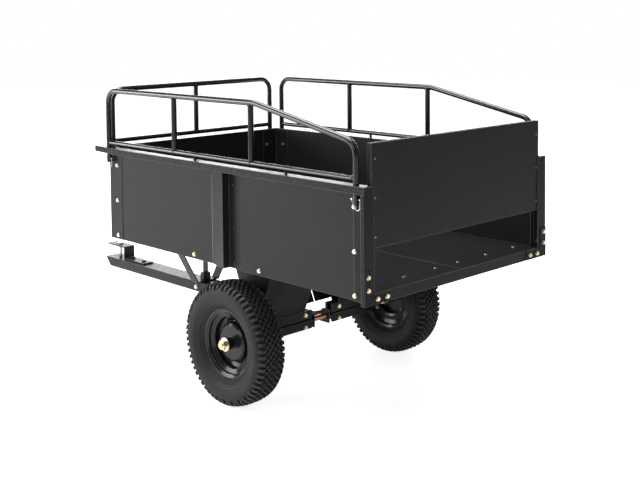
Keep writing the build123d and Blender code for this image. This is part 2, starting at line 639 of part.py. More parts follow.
# ---------------------------------------------------------------- wire lock pins of the rail legs
PINS = {
    "lock_pin_left_front": ((X(X_RAIL_F), Y_RAIL, Z_PIN), (1, 0, 0)),
    "lock_pin_left_rear": ((X(X_RAIL_R), Y_RAIL, Z_PIN), (1, 0, 0)),
    "lock_pin_right_front": ((X(X_RAIL_F), -Y_RAIL, Z_PIN), (1, 0, 0)),
    "lock_pin_right_rear": ((X(X_RAIL_R), -Y_RAIL, Z_PIN), (1, 0, 0)),
    "lock_pin_front_left": ((X(X_FRAIL), Y_FRAIL, Z_PIN), (0, 1, 0)),
    "lock_pin_front_right": ((X(X_FRAIL), -Y_FRAIL, Z_PIN), (0, -1, 0)),
}
pin_parts = {}
for pin_name, (pc, pd) in PINS.items():
    base = Plane(origin=pc, x_dir=pd, z_dir=(0, 1, 0) if pd[0] else (-1, 0, 0))
    # local x runs along the pin; the bail hangs towards -Z
    down = -1 if base.y_dir.Z > 0 else 1
    with BuildPart() as lock_pin:
        with BuildSketch(Plane(origin=base.from_local_coords((-16.0, 0, 0)), z_dir=pd)):
            Circle(2.62)
        extrude(amount=33.0)
        with BuildSketch(Plane(origin=base.from_local_coords((13.0, 0, 0)), z_dir=pd)):
            Circle(4.4)
        extrude(amount=6.0)
        p = [base.from_local_coords((x, down * z, 0)) for x, z in
             ((16.0, 0.0), (16.0, 6.0), (9.0, 24.0), (-3.0, 33.5), (-14.0, 27.0), (-14.0, -1.0))]
        with BuildLine() as bail:
            FilletPolyline(*p, radius=[5, 9, 8, 6])
        with BuildSketch(Plane(origin=p[0], z_dir=(0, 0, -1))):
            Circle(1.35)
        sweep()
    lock_pin.part.label = pin_name
    pin_parts[pin_name] = lock_pin

# ---------------------------------------------------------------- tongue and hitch
with BuildPart() as tongue_channel:
    hw = TONGUE_W / 2
    # side walls: straight along the drawbar, tapering to round ears on the axle
    side = [(-18, 180), (-18, 226), (-14, 228), (16, 228), (24, 218), (60, 206), (130, 206), (190, TONGUE_TOP), (X_TIP, TONGUE_TOP),
            (X_TIP - 34, TONGUE_BOT), (60, TONGUE_BOT), (24, 178), (-14, 178)]
    for y0 in (hw, -hw + TONGUE_T):
        with BuildSketch(Plane.XZ.offset(-y0)):
            with BuildLine():
                Polyline(*shifted(side), close=True)
            make_face()
            with Locations((X(0), Z_AX)):
                Circle(R_ROD + 0.07, mode=Mode.SUBTRACT)
        extrude(amount=TONGUE_T)
    with BuildSketch(Plane.XY.offset(TONGUE_TOP - TONGUE_T)):
        with BuildLine():
            Polyline(*shifted([(200, hw), (X_TIP, hw), (X_TIP, -hw), (200, -hw)]), close=True)
        make_face()
        with Locations((X(X_HPIN), 0)):
            Circle(R_HPIN + 0.07, mode=Mode.SUBTRACT)
    extrude(amount=TONGUE_T)
    with BuildSketch(Plane.XZ.offset(-60)):
        with BuildLine():
            Polyline(*shifted([(X_TIP + 0.01, TONGUE_TOP + 0.01), (X_TIP + 20, TONGUE_TOP + 0.01), (X_TIP + 20, 170), (X_TIP - 34 - 11.6, 170)]), close=True)
        make_face()
    extrude(amount=120, mode=Mode.SUBTRACT)
    holes(UP(TONGUE_TOP), [(X(1070), 0, TONGUE_TOP), (X(1146), 0, TONGUE_TOP)], R_H, 6)
    holes(LEFT(37), [(X(655), 37, 200)], R_H, 6)
    holes(RIGHT(37), [(X(655), -37, 200)], R_H, 6)
tongue_channel.part.label = "tongue_channel"

with BuildPart() as hitch_strap:
    with BuildSketch(Plane.XZ.offset(-25)):
        with BuildLine():
            Polyline(*shifted(ribbon([(1036, TONGUE_TOP + 6), (1176, TONGUE_TOP + 6), (1176, GAP_TOP + 6), (1306, GAP_TOP + 6)], 6.0, -1)), close=True)
        make_face()
    extrude(amount=50)
    fillet(hitch_strap.edges().filter_by(Axis.Z).sort_by(Axis.X)[-2:], 10)
    holes(UP(GAP_TOP), [(X(X_HPIN), 0, GAP_TOP)], R_HPIN + 0.07, 8)
    holes(UP(TONGUE_TOP + 3), [(X(1070), 0, TONGUE_TOP), (X(1146), 0, TONGUE_TOP)], R_H, 6)
hitch_strap.part.label = "hitch_strap"

with BuildPart() as hitch_bolts:
    bolt_row(UP(TONGUE_TOP + 6), [(X(1070), 0, 0), (X(1146), 0, 0)], 9.0, r_head=9.0, h_head=6.0)
hitch_bolts.part.label = "hitch_bolts"

with BuildPart() as tongue_cross_bolt:
    bolt_row(LEFT(38), [(X(655), 38, 200)], 76.0, r_head=8.5, h_head=5.5)
tongue_cross_bolt.part.label = "tongue_cross_bolt"

with BuildPart() as hitch_pin:
    with BuildSketch(Plane.XY.offset(186)):
        with Locations((X(X_HPIN), 0)):
            Circle(R_HPIN)
    extrude(amount=GAP_TOP + 6.3 - 186)
    chamfer(hitch_pin.edges().filter_by(GeomType.CIRCLE).sort_by(Axis.Z)[0], 2.0)
    # retaining ring groove just under the tongue's top plate
    with BuildSketch(Plane.XY.offset(213)):
        with Locations((X(X_HPIN), 0)):
            Circle(R_HPIN + 1)
            Circle(R_HPIN - 0.9, mode=Mode.SUBTRACT)
    extrude(amount=2.0, mode=Mode.SUBTRACT)
    with BuildSketch(Plane.XY.offset(GAP_TOP + 6.3)):
        with Locations((X(X_HPIN), 0)):
            Circle(12.5)
    extrude(amount=6)
    fillet(hitch_pin.edges().filter_by(GeomType.CIRCLE).sort_by(Axis.Z)[-1], 2.0)
hitch_pin.part.label = "hitch_pin"

# ---------------------------------------------------------------- wheels
def yr(points, y0=Y_WHEEL):
    """profile in (radius, y from the wheel's middle plane) to (x, y) on a plane through the axle"""
    return [(X(r), y0 + w) for r, w in points]


AXLE = Axis((AX, 0, Z_AX), (0, 1, 0))
PROF = Plane(origin=(0, 0, Z_AX), x_dir=(1, 0, 0), z_dir=(0, 0, 1))

X_VALVE, Z_VALVE = 19.4, 72.4        # the valve, 75 mm from the axle

with BuildPart() as wheel_rim_left:
    h = W_RIM / 2
    with BuildSketch(PROF):
        with BuildLine():
            Polyline(*yr([(114, h), (109, h), (103.5, h - 2.5), (99, h - 5), (98.6, 18), (86, 12), (84.5, -8), (72, -12), (66, -10), (62, 8), (56, 12), (19, 12), (19, 8.6),
                          (54.5, 8.6), (59.3, 5.5), (63.2, -12), (71, -15.2), (85.5, -12.5), (98.6, -18), (99, -h + 5), (103.5, -h + 2.5), (109, -h), (114, -h),
                          (114, -h + 2.5), (107, -h + 4), (101.6, -h + 9), (101.6, -16), (89, -9), (89, 10), (101.6, 16), (101.6, h - 9), (107, h - 4), (114, h - 2.5)]), close=True)
        make_face()
    revolve(axis=AXLE)
    # hub tube welded through the disc
    with BuildSketch(Plane.XZ.offset(-(Y_WHEEL + 36))):
        with Locations((X(0), Z_AX)):
            Circle(19.5)
            Circle(15.0, mode=Mode.SUBTRACT)
    extrude(amount=72)
    # valve hole
    with BuildSketch(Plane.XZ.offset(-(Y_WHEEL + 4))):
        with Locations((X(X_VALVE), Z_AX + Z_VALVE)):
            Circle(4.4)
    extrude(amount=26, mode=Mode.SUBTRACT)
wheel_rim_left.part.label = "wheel_rim_left"

with BuildPart() as tyre_left:
    with BuildSketch(PROF):
        with BuildLine():
            Polyline(*yr([(R_TYRE, 0), (R_TYRE - 0.8, 26), (R_TYRE - 4.5, 42), (R_TYRE - 13, 51.5), (R_TYRE - 26, 55.8), (R_TYRE - 40, W_TYRE / 2), (150, 54.5), (136, 49),
                          (124, 40), (115.5, 33.2), (114.6, 32.6), (114.6, 27.0), (108.5, 26.0), (102.0, 22.4), (102.0, 15.0), (110, 18), (118, 26), (130, 37), (146, 43.5), (162, 45.5),
                          (176, 43.5), (186, 36), (190, 26), (191, 0),
                          (190, -26), (186, -36), (176, -43.5), (162, -45.5), (146, -43.5), (130, -37), (118, -26), (110, -18), (102.0, -15.0), (102.0, -22.4),
                          (108.5, -26.0), (114.6, -27.0), (114.6, -32.6), (115.5, -33.2), (124, -40), (136, -49), (150, -54.5), (R_TYRE - 40, -W_TYRE / 2), (R_TYRE - 26, -55.8),
                          (R_TYRE - 13, -51.5), (R_TYRE - 4.5, -42), (R_TYRE - 0.8, -26)]), close=True)
        make_face()
    revolve(axis=AXLE)
tyre_left.part.label = "tyre_left"

with BuildPart() as hub_bushings_left:
    for y0, s in ((Y_WHEEL + 36, 1), (Y_WHEEL - 36, -1)):
        pl = plane_at((X(0), y0, Z_AX), (0, s, 0), (1, 0, 0))
        with BuildSketch(pl):
            Circle(19)
            Circle(R_ROD + 0.075, mode=Mode.SUBTRACT)
        extrude(amount=1.0)
        with BuildSketch(pl):
            Circle(14.97)
            Circle(R_ROD + 0.075, mode=Mode.SUBTRACT)
        extrude(amount=-26)
hub_bushings_left.part.label = "hub_bushings_left"

with BuildPart() as valve_stem_left:
    for y0, r, length in ((Y_WHEEL - 8.4, 6.0, 3.0), (Y_WHEEL - 16.6, 4.25, 9.0), (Y_WHEEL - 8.6, 3.9, 24.0)):
        with BuildSketch(Plane(origin=(X(X_VALVE), y0, Z_AX + Z_VALVE), x_dir=(1, 0, 0), z_dir=(0, 1, 0))):
            Circle(r)
        extrude(amount=length)
valve_stem_left.part.label = "valve_stem_left"

rights = {}
for nm, src in (("wheel_rim_right", wheel_rim_left), ("tyre_right", tyre_left), ("hub_bushings_right", hub_bushings_left), ("valve_stem_right", valve_stem_left)):
    with BuildPart() as other:
        add(mirror(src.part, about=Plane.XZ, mode=Mode.PRIVATE))
    other.part.label = nm
    rights[nm] = other

# ---------------------------------------------------------------- write one file per piece
PIECES = [floor_panel_left, floor_panel_right, side_panel_front_left, side_panel_rear_left, side_panel_front_right, side_panel_rear_right,
          front_panel, corner_angles, side_rim_left, side_rim_right, front_rim, rear_post_left, rear_post_right,
          tailgate_guides, rear_cross_rail, corner_gussets,
          axle_bracket_left, axle_bracket_right, axle_carriers, axle_clamp_bars, axle_rod, axle_collars, axle_nuts,
          clamp_bolts, underbody_bolts, front_support, latch_guide, latch_bar, panel_bolts, seam_bolts, floor_screws, guide_rivets,
          tailgate_panel, tailgate_stiffener, tailgate_screws,
          side_hoop_left, side_infill_left, side_hoop_right, side_infill_right, front_hoop, front_infill,
          tongue_channel, hitch_strap, hitch_bolts, tongue_cross_bolt, hitch_pin,
          wheel_rim_left, tyre_left, hub_bushings_left, valve_stem_left] + list(rights.values()) + list(pin_parts.values())
for piece in PIECES:
    export_step(piece.part, "parts/" + piece.part.label + ".step")
print(len(PIECES), "pieces")
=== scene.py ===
import bpy, bmesh
from math import sin, cos, pi, radians, sqrt, atan2, hypot
from mathutils import Vector, Matrix


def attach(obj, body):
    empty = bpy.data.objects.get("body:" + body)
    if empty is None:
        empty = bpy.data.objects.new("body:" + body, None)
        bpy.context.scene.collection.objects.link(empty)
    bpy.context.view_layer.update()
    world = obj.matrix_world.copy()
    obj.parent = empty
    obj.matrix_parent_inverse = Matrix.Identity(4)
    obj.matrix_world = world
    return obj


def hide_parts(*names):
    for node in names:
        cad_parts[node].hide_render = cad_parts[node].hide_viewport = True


# ---------------------------------------------------------------- camera
cam_data = bpy.data.cameras.new("photo_camera")
cam = bpy.data.objects.new("photo_camera", cam_data)
bpy.context.scene.collection.objects.link(cam)
bpy.context.scene.camera = cam

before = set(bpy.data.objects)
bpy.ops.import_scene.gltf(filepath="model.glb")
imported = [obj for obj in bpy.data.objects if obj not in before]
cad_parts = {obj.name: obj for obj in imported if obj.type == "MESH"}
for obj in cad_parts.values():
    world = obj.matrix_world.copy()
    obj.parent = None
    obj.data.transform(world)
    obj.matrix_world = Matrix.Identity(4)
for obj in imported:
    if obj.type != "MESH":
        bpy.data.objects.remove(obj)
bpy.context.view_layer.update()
AX = -0.328
Z_AX = 0.203

YAW, PIT, ROLL = 0.7690351, 0.0571453, -0.00965996
fwd = Vector((cos(PIT) * cos(YAW), -cos(PIT) * sin(YAW), -sin(PIT)))
right = fwd.cross(Vector((0, 0, 1))).normalized()
up = right.cross(fwd)
r2 = cos(ROLL) * right + sin(ROLL) * up
u2 = -sin(ROLL) * right + cos(ROLL) * up
C = Vector((-2.6505736 + AX, 2.5466051, 1.2810719))
m = Matrix((r2, u2, -fwd)).transposed().to_4x4()
m.translation = C
cam.matrix_world = m
cam_data.sensor_fit = "HORIZONTAL"
cam_data.sensor_width = 36.0
cam_data.lens = 1057.0484 / 640.0 * 36.0
cam_data.shift_x = 0.0
cam_data.shift_y = (71.9232 - 240.0) / 640.0
cam_data.clip_start = 0.05
cam_data.clip_end = 100.0


# ---------------------------------------------------------------- material helpers
def new_mat(name):
    mt = bpy.data.materials.new(name)
    mt.use_nodes = True
    nt = mt.node_tree
    nt.nodes.clear()
    out = nt.nodes.new("ShaderNodeOutputMaterial")
    bs = nt.nodes.new("ShaderNodeBsdfPrincipled")
    nt.links.new(bs.outputs[0], out.inputs["Surface"])
    return mt, nt, bs


def N(nt, kind, **kw):
    n = nt.nodes.new(kind)
    for k, v in kw.items():
        if k in n.inputs:
            n.inputs[k].default_value = v
        else:
            setattr(n, k, v)
    return n


def noise(nt, coord, scale, detail=3.0, rough=0.55, stretch=None):
    n = nt.nodes.new("ShaderNodeTexNoise")
    n.inputs["Scale"].default_value = scale
    n.inputs["Detail"].default_value = detail
    n.inputs["Roughness"].default_value = rough
    src = coord
    if stretch:
        mp = nt.nodes.new("ShaderNodeMapping")
        mp.inputs["Scale"].default_value = stretch
        nt.links.new(coord, mp.inputs["Vector"])
        src = mp.outputs[0]
    nt.links.new(src, n.inputs["Vector"])
    return n.outputs["Fac"]


def ramp(nt, fac, stops):
    r = nt.nodes.new("ShaderNodeValToRGB")
    el = r.color_ramp.elements
    while len(el) > 1:
        el.remove(el[0])
    el[0].position, el[0].color = stops[0][0], stops[0][1]
    for p, c in stops[1:]:
        e = el.new(p)
        e.color = c
    nt.links.new(fac, r.inputs["Fac"])
    return r.outputs["Color"]


def g(v, a=1.0):
    return (v, v, v, a)


def mixc(nt, fac, a, b):
    mx = nt.nodes.new("ShaderNodeMix")
    mx.data_type = "RGBA"
    for sock, val in ((6, a), (7, b)):
        if isinstance(val, tuple):
            mx.inputs[sock].default_value = val
        else:
            nt.links.new(val, mx.inputs[sock])
    if isinstance(fac, float):
        mx.inputs[0].default_value = fac
    else:
        nt.links.new(fac, mx.inputs[0])
    return mx.outputs[2]


def bevel_normal(nt, radius):
    b = nt.nodes.new("ShaderNodeBevel")
    b.samples = 4
    b.inputs["Radius"].default_value = radius
    return b.outputs[0]


def bump(nt, height, strength, dist, normal=None):
    b = nt.nodes.new("ShaderNodeBump")
    b.inputs["Strength"].default_value = strength
    b.inputs["Distance"].default_value = dist
    nt.links.new(height, b.inputs["Height"])
    if normal is not None:
        nt.links.new(normal, b.inputs["Normal"])
    return b.outputs[0]


def powder(name, dark, light, rough, edge=0.0012, peel=0.10, wear=0.5, coat=0.0, spec=0.20):
    """black powder coat: fine orange peel, faint handling marks, painted highlight lightening the colour along folds
    and edges
    """
    mt, nt, bs = new_mat(name)
    co = nt.nodes.new("ShaderNodeTexCoord").outputs["Object"]
    big = noise(nt, co, 3.1, 4, 0.6)
    fine = noise(nt, co, 950.0, 2, 0.5)
    mid = noise(nt, co, 46.0, 5, 0.65)
    marks = noise(nt, co, 22.0, 6, 0.75, (1.0, 1.0, 7.0))
    c1 = ramp(nt, big, [(0.30, dark), (0.72, light)])
    speck = ramp(nt, fine, [(0.40, g(0.0)), (0.75, g(1.0))])
    c2 = mixc(nt, speck, c1, tuple(min(1.0, v * 1.35) for v in light[:3]) + (1.0,))
    scuff = ramp(nt, marks, [(0.60, g(0.0)), (0.78, g(0.55 * wear))])
    c3 = mixc(nt, scuff, c2, tuple(min(1.0, v * 1.7 + 0.004) for v in light[:3]) + (1.0,))
    # painted highlight: the colour is lightened along the bevelled folds and edges, where light catches them
    bn = bevel_normal(nt, edge)
    geo = nt.nodes.new("ShaderNodeNewGeometry")
    dot = nt.nodes.new("ShaderNodeVectorMath")
    dot.operation = "DOT_PRODUCT"
    nt.links.new(bn, dot.inputs[0])
    nt.links.new(geo.outputs["Normal"], dot.inputs[1])
    painted_edge_highlight = ramp(nt, dot.outputs["Value"], [(0.80, g(0.95)), (0.985, g(0.0))])
    c4 = mixc(nt, painted_edge_highlight, c3, tuple(min(1.0, v * 2.2 + 0.20) for v in light[:3]) + (1.0,))
    nt.links.new(c4, bs.inputs["Base Color"])
    rr = ramp(nt, mid, [(0.25, g(max(0.05, rough - 0.05))), (0.75, g(rough + 0.06))])
    nt.links.new(rr, bs.inputs["Roughness"])
    h = nt.nodes.new("ShaderNodeMath")
    h.operation = "MULTIPLY_ADD"
    nt.links.new(mid, h.inputs[0])
    h.inputs[1].default_value = 0.6
    nt.links.new(fine, h.inputs[2])
    nt.links.new(bump(nt, h.outputs[0], peel, 0.0004, bn), bs.inputs["Normal"])
    bs.inputs["Specular IOR Level"].default_value = spec
    if coat:
        bs.inputs["Coat Weight"].default_value = coat
        bs.inputs["Coat Roughness"].default_value = 0.10
    return mt


def plated(name, a, b, c, rough, edge=0.0006):
    """zinc plate: mottled passivate, fine turning marks, darker random patches"""
    mt, nt, bs = new_mat(name)
    co = nt.nodes.new("ShaderNodeTexCoord").outputs["Object"]
    n1 = noise(nt, co, 70.0, 4, 0.6)
    n2 = noise(nt, co, 900.0, 3, 0.6)
    n3 = noise(nt, co, 19.0, 2, 0.5)
    c1 = ramp(nt, n1, [(0.30, a), (0.55, b), (0.78, c)])
    sm = ramp(nt, n3, [(0.45, g(0.0)), (0.80, g(0.30))])
    c2 = mixc(nt, sm, c1, tuple(v * 0.55 for v in a[:3]) + (1.0,))
    nt.links.new(c2, bs.inputs["Base Color"])
    bs.inputs["Metallic"].default_value = 1.0
    rr = ramp(nt, n1, [(0.2, g(rough - 0.07)), (0.8, g(rough + 0.10))])
    nt.links.new(rr, bs.inputs["Roughness"])
    nt.links.new(bump(nt, n2, 0.12, 0.00012, bevel_normal(nt, edge)), bs.inputs["Normal"])
    return mt


def rubber(name, dark, light, rough, grain=420.0, strength=0.25, spec=0.42):
    mt, nt, bs = new_mat(name)
    co = nt.nodes.new("ShaderNodeTexCoord").outputs["Object"]
    big = noise(nt, co, 9.0, 5, 0.65)
    fine = noise(nt, co, grain, 4, 0.6)
    dust = noise(nt, co, 60.0, 6, 0.7)
    c1 = ramp(nt, big, [(0.28, dark), (0.74, light)])
    d = ramp(nt, dust, [(0.52, g(0.0)), (0.80, g(0.45))])
    c2 = mixc(nt, d, c1, (light[0] * 1.9, light[1] * 1.85, light[2] * 1.75, 1.0))
    nt.links.new(c2, bs.inputs["Base Color"])
    rr = ramp(nt, dust, [(0.25, g(rough - 0.07)), (0.75, g(rough + 0.10))])
    nt.links.new(rr, bs.inputs["Roughness"])
    nt.links.new(bump(nt, fine, strength, 0.0004), bs.inputs["Normal"])
    bs.inputs["Specular IOR Level"].default_value = spec
    return mt


M_SHEET = powder("mat_sheet", (0.0085, 0.0087, 0.0096, 1), (0.0125, 0.0127, 0.0138, 1), 0.42, edge=0.0026, peel=0.05)
M_FLOOR = powder("mat_floor", (0.0085, 0.0087, 0.0098, 1), (0.0125, 0.0128, 0.0142, 1), 0.32, edge=0.0026, wear=0.8, peel=0.05)
M_FRAME = powder("mat_frame", (0.0075, 0.0077, 0.0086, 1), (0.0110, 0.0112, 0.0124, 1), 0.36, edge=0.0026, peel=0.05)
M_RIMTOP = powder("mat_rolled_rim", (0.0080, 0.0082, 0.0090, 1), (0.0115, 0.0117, 0.0128, 1), 0.26, edge=0.003, peel=0.04, spec=0.18)
M_TUBE = powder("mat_tube", (0.0045, 0.0046, 0.0050, 1), (0.0070, 0.0071, 0.0076, 1), 0.20, peel=0.02, wear=0.25, coat=0.7, spec=0.30)
M_RIM = powder("mat_wheel_rim", (0.0060, 0.0061, 0.0066, 1), (0.0090, 0.0091, 0.0098, 1), 0.22, edge=0.0022, peel=0.03, wear=0.3, coat=0.30, spec=0.12)
M_TYRE = rubber("mat_tyre", (0.0070, 0.0070, 0.0074, 1), (0.0115, 0.0115, 0.0120, 1), 0.56, spec=0.30)
M_TREAD = rubber("mat_tread", (0.0115, 0.0115, 0.0120, 1), (0.0200, 0.0200, 0.0205, 1), 0.52, spec=0.42)
# painted shade: a darker copy of the black powder coat for the rear posts and rear cross rail, standing in for the
# shade on their rear-facing faces
M_POST_SHADED = powder("mat_post_painted_shade", (0.0070, 0.0072, 0.0080, 1), (0.0105, 0.0107, 0.0118, 1), 0.36, edge=0.0032, peel=0.05, spec=0.15)
M_GUSSET = powder("mat_gusset", (0.0050, 0.0052, 0.0058, 1), (0.0080, 0.0082, 0.0090, 1), 0.36, edge=0.0026, peel=0.05, spec=0.11)
M_RUBBER = rubber("mat_rubber_small", (0.008, 0.008, 0.008, 1), (0.012, 0.012, 0.012, 1), 0.55)
M_NYLON = rubber("mat_nylon", (0.005, 0.005, 0.0055, 1), (0.009, 0.009, 0.0095, 1), 0.42, 700.0, 0.1)
M_BLACKOX = rubber("mat_black_oxide", (0.008, 0.008, 0.0085, 1), (0.018, 0.018, 0.019, 1), 0.30, 600.0, 0.1)
M_YELLOW = plated("mat_yellow_zinc", (0.80, 0.64, 0.36, 1), (0.94, 0.85, 0.64, 1), (0.97, 0.93, 0.84, 1), 0.28)
M_BRIGHT = plated("mat_bright_zinc", (0.52, 0.53, 0.54, 1), (0.70, 0.70, 0.69, 1), (0.62, 0.64, 0.68, 1), 0.26)
M_DULL = plated("mat_dull_zinc", (0.16, 0.16, 0.17, 1), (0.24, 0.24, 0.25, 1), (0.20, 0.21, 0.22, 1), 0.42)
M_COPPER = plated("mat_copper_zinc", (0.62, 0.26, 0.12, 1), (0.80, 0.42, 0.22, 1), (0.85, 0.62, 0.38, 1), 0.32)
axle_nt = M_COPPER.node_tree
axle_bs = [n for n in axle_nt.nodes if n.type == "BSDF_PRINCIPLED"][0]
axle_src = axle_bs.inputs["Base Color"].links[0].from_socket
axle_sep = axle_nt.nodes.new("ShaderNodeSeparateXYZ")
axle_nt.links.new(axle_nt.nodes.new("ShaderNodeTexCoord").outputs["Object"], axle_sep.inputs[0])
axle_abs = axle_nt.nodes.new("ShaderNodeMath")
axle_abs.operation = "ABSOLUTE"
axle_nt.links.new(axle_sep.outputs["Y"], axle_abs.inputs[0])
axle_end = ramp(axle_nt, axle_abs.outputs[0], [(0.34, g(0.0)), (0.40, g(1.0))])
axle_nt.links.new(mixc(axle_nt, axle_end, axle_src, (0.88, 0.74, 0.46, 1.0)), axle_bs.inputs["Base Color"])
# painted highlight: light grey paint for the bead, standing in for the bright line where light catches the flare's
# front bend
M_EDGE_HIGHLIGHT = powder("mat_painted_edge_highlight", (0.15, 0.151, 0.154, 1), (0.22, 0.222, 0.226, 1), 0.30, peel=0.04, spec=0.4)
M_WELD = powder("mat_weld", (0.006, 0.0062, 0.0066, 1), (0.010, 0.0102, 0.0108, 1), 0.34, peel=0.4)

NODE_MAT = {}
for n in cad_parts:
    if n.startswith(("floor_panel",)):
        NODE_MAT[n] = M_FLOOR
    elif n.startswith(("side_panel", "front_panel", "corner_angles", "tailgate_panel", "tailgate_stiffener")):
        NODE_MAT[n] = M_SHEET
    elif n.startswith(("side_rim", "front_rim")):
        NODE_MAT[n] = M_RIMTOP
    elif n.startswith(("side_hoop", "side_infill", "front_hoop", "front_infill")):
        NODE_MAT[n] = M_TUBE
    elif n == "corner_gussets":
        NODE_MAT[n] = M_GUSSET
    elif n.startswith(("rear_post", "rear_cross_rail")):
        NODE_MAT[n] = M_POST_SHADED
    elif n.startswith("wheel_rim"):
        NODE_MAT[n] = M_RIM
    elif n.startswith("tyre"):
        NODE_MAT[n] = M_TYRE
    elif n.startswith("valve"):
        NODE_MAT[n] = M_RUBBER
    elif n.startswith(("hub_bush", "latch_guide")):
        NODE_MAT[n] = M_NYLON
    elif n in ("axle_rod",):
        NODE_MAT[n] = M_COPPER
    elif n in ("latch_bar", "tailgate_screws", "guide_rivets"):
        NODE_MAT[n] = M_DULL
    elif n in ("seam_bolts", "hitch_bolts"):
        NODE_MAT[n] = M_BLACKOX
    elif n.startswith(("lock_pin", "hitch_pin")):
        NODE_MAT[n] = M_BRIGHT
    elif n in ("panel_bolts", "underbody_bolts", "clamp_bolts", "floor_screws", "guide_rivets", "hitch_bolts", "tongue_cross_bolt", "axle_nuts", "axle_collars"):
        NODE_MAT[n] = M_YELLOW
    else:
        NODE_MAT[n] = M_FRAME
for n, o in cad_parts.items():
    if not o.material_slots:
        o.data.materials.append(NODE_MAT[n])
    for s in o.material_slots:
        s.material = NODE_MAT[n]


# ---------------------------------------------------------------- mesh helpers
def mesh_object(name, verts, faces, mat, body, smooth=True):
    me = bpy.data.meshes.new(name)
    me.from_pydata(verts, [], faces)
    me.validate()
    me.update()
    bm = bmesh.new()
    bm.from_mesh(me)
    bmesh.ops.recalc_face_normals(bm, faces=bm.faces)
    bm.to_mesh(me)
    bm.free()
    if smooth:
        for p in me.polygons:
            p.use_smooth = True
    me.materials.append(mat)
    ob = bpy.data.objects.new(name, me)
    bpy.context.scene.collection.objects.link(ob)
    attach(ob, body)
    return ob


def sharpen(ob, angle):
    """hard edges where the faces meet at more than angle"""
    bm = bmesh.new()
    bm.from_mesh(ob.data)
    for e in bm.edges:
        if len(e.link_faces) == 2 and e.calc_face_angle(0.0) > angle:
            e.smooth = False
    bm.to_mesh(ob.data)
    bm.free()


# ---------------------------------------------------------------- tyres
HALF = [(0.1965, 0.0), (0.1962, 0.016), (0.1945, 0.030), (0.1905, 0.0405), (0.1840, 0.0490), (0.1750, 0.0545), (0.1640, 0.0563), (0.1530, 0.0552),
        (0.1420, 0.0515), (0.1330, 0.0465), (0.1250, 0.0405), (0.1195, 0.0358), (0.1163, 0.0335), (0.1152, 0.0325)]


def resample(points, n):
    dense = []
    pts = [points[0]] + list(points) + [points[-1]]
    for i in range(1, len(pts) - 2):
        p0, p1, p2, p3 = pts[i - 1:i + 3]
        for k in range(24):
            t = k / 24
            dense.append(tuple(0.5 * (2 * p1[j] + (p2[j] - p0[j]) * t + (2 * p0[j] - 5 * p1[j] + 4 * p2[j] - p3[j]) * t * t
                                      + (3 * p1[j] - p0[j] - 3 * p2[j] + p3[j]) * t ** 3) for j in (0, 1)))
    dense.append(points[-1])
    L = [0.0]
    for a, b in zip(dense, dense[1:]):
        L.append(L[-1] + hypot(b[0] - a[0], b[1] - a[1]))
    return dense, L


DENSE, LEN = resample(HALF, 0)
S_END = LEN[-1]


def prof(s):
    """(r, w, normal r, normal w) at arc length s from the tread's centre line"""
    sg = 1 if s >= 0 else -1
    s = min(abs(s), S_END - 1e-9)
    lo, hi = 0, len(LEN) - 1
    while hi - lo > 1:
        md = (lo + hi) // 2
        if LEN[md] <= s:
            lo = md
        else:
            hi = md
    t = (s - LEN[lo]) / max(1e-12, LEN[hi] - LEN[lo])
    a, b = DENSE[lo], DENSE[hi]
    r, w = a[0] + (b[0] - a[0]) * t, a[1] + (b[1] - a[1]) * t
    a2, b2 = DENSE[max(0, lo - 6)], DENSE[min(len(DENSE) - 1, hi + 6)]
    if lo < 6:
        a2 = (2 * DENSE[0][0] - DENSE[6 - lo][0] if False else DENSE[max(0, lo - 6)][0], DENSE[max(0, lo - 6)][1])
    dr, dw = b2[0] - a2[0], b2[1] - a2[1]
    q = hypot(dr, dw)
    return r, w * sg, dw / q, -dr / q * sg


def tyre_point(cy, sgn, s, phi, h):
    r, w, nr, nw = prof(s)
    r, w = r + nr * h, w + nw * h
    return (AX + r * cos(phi), cy + sgn * w, Z_AX + r * sin(phi))


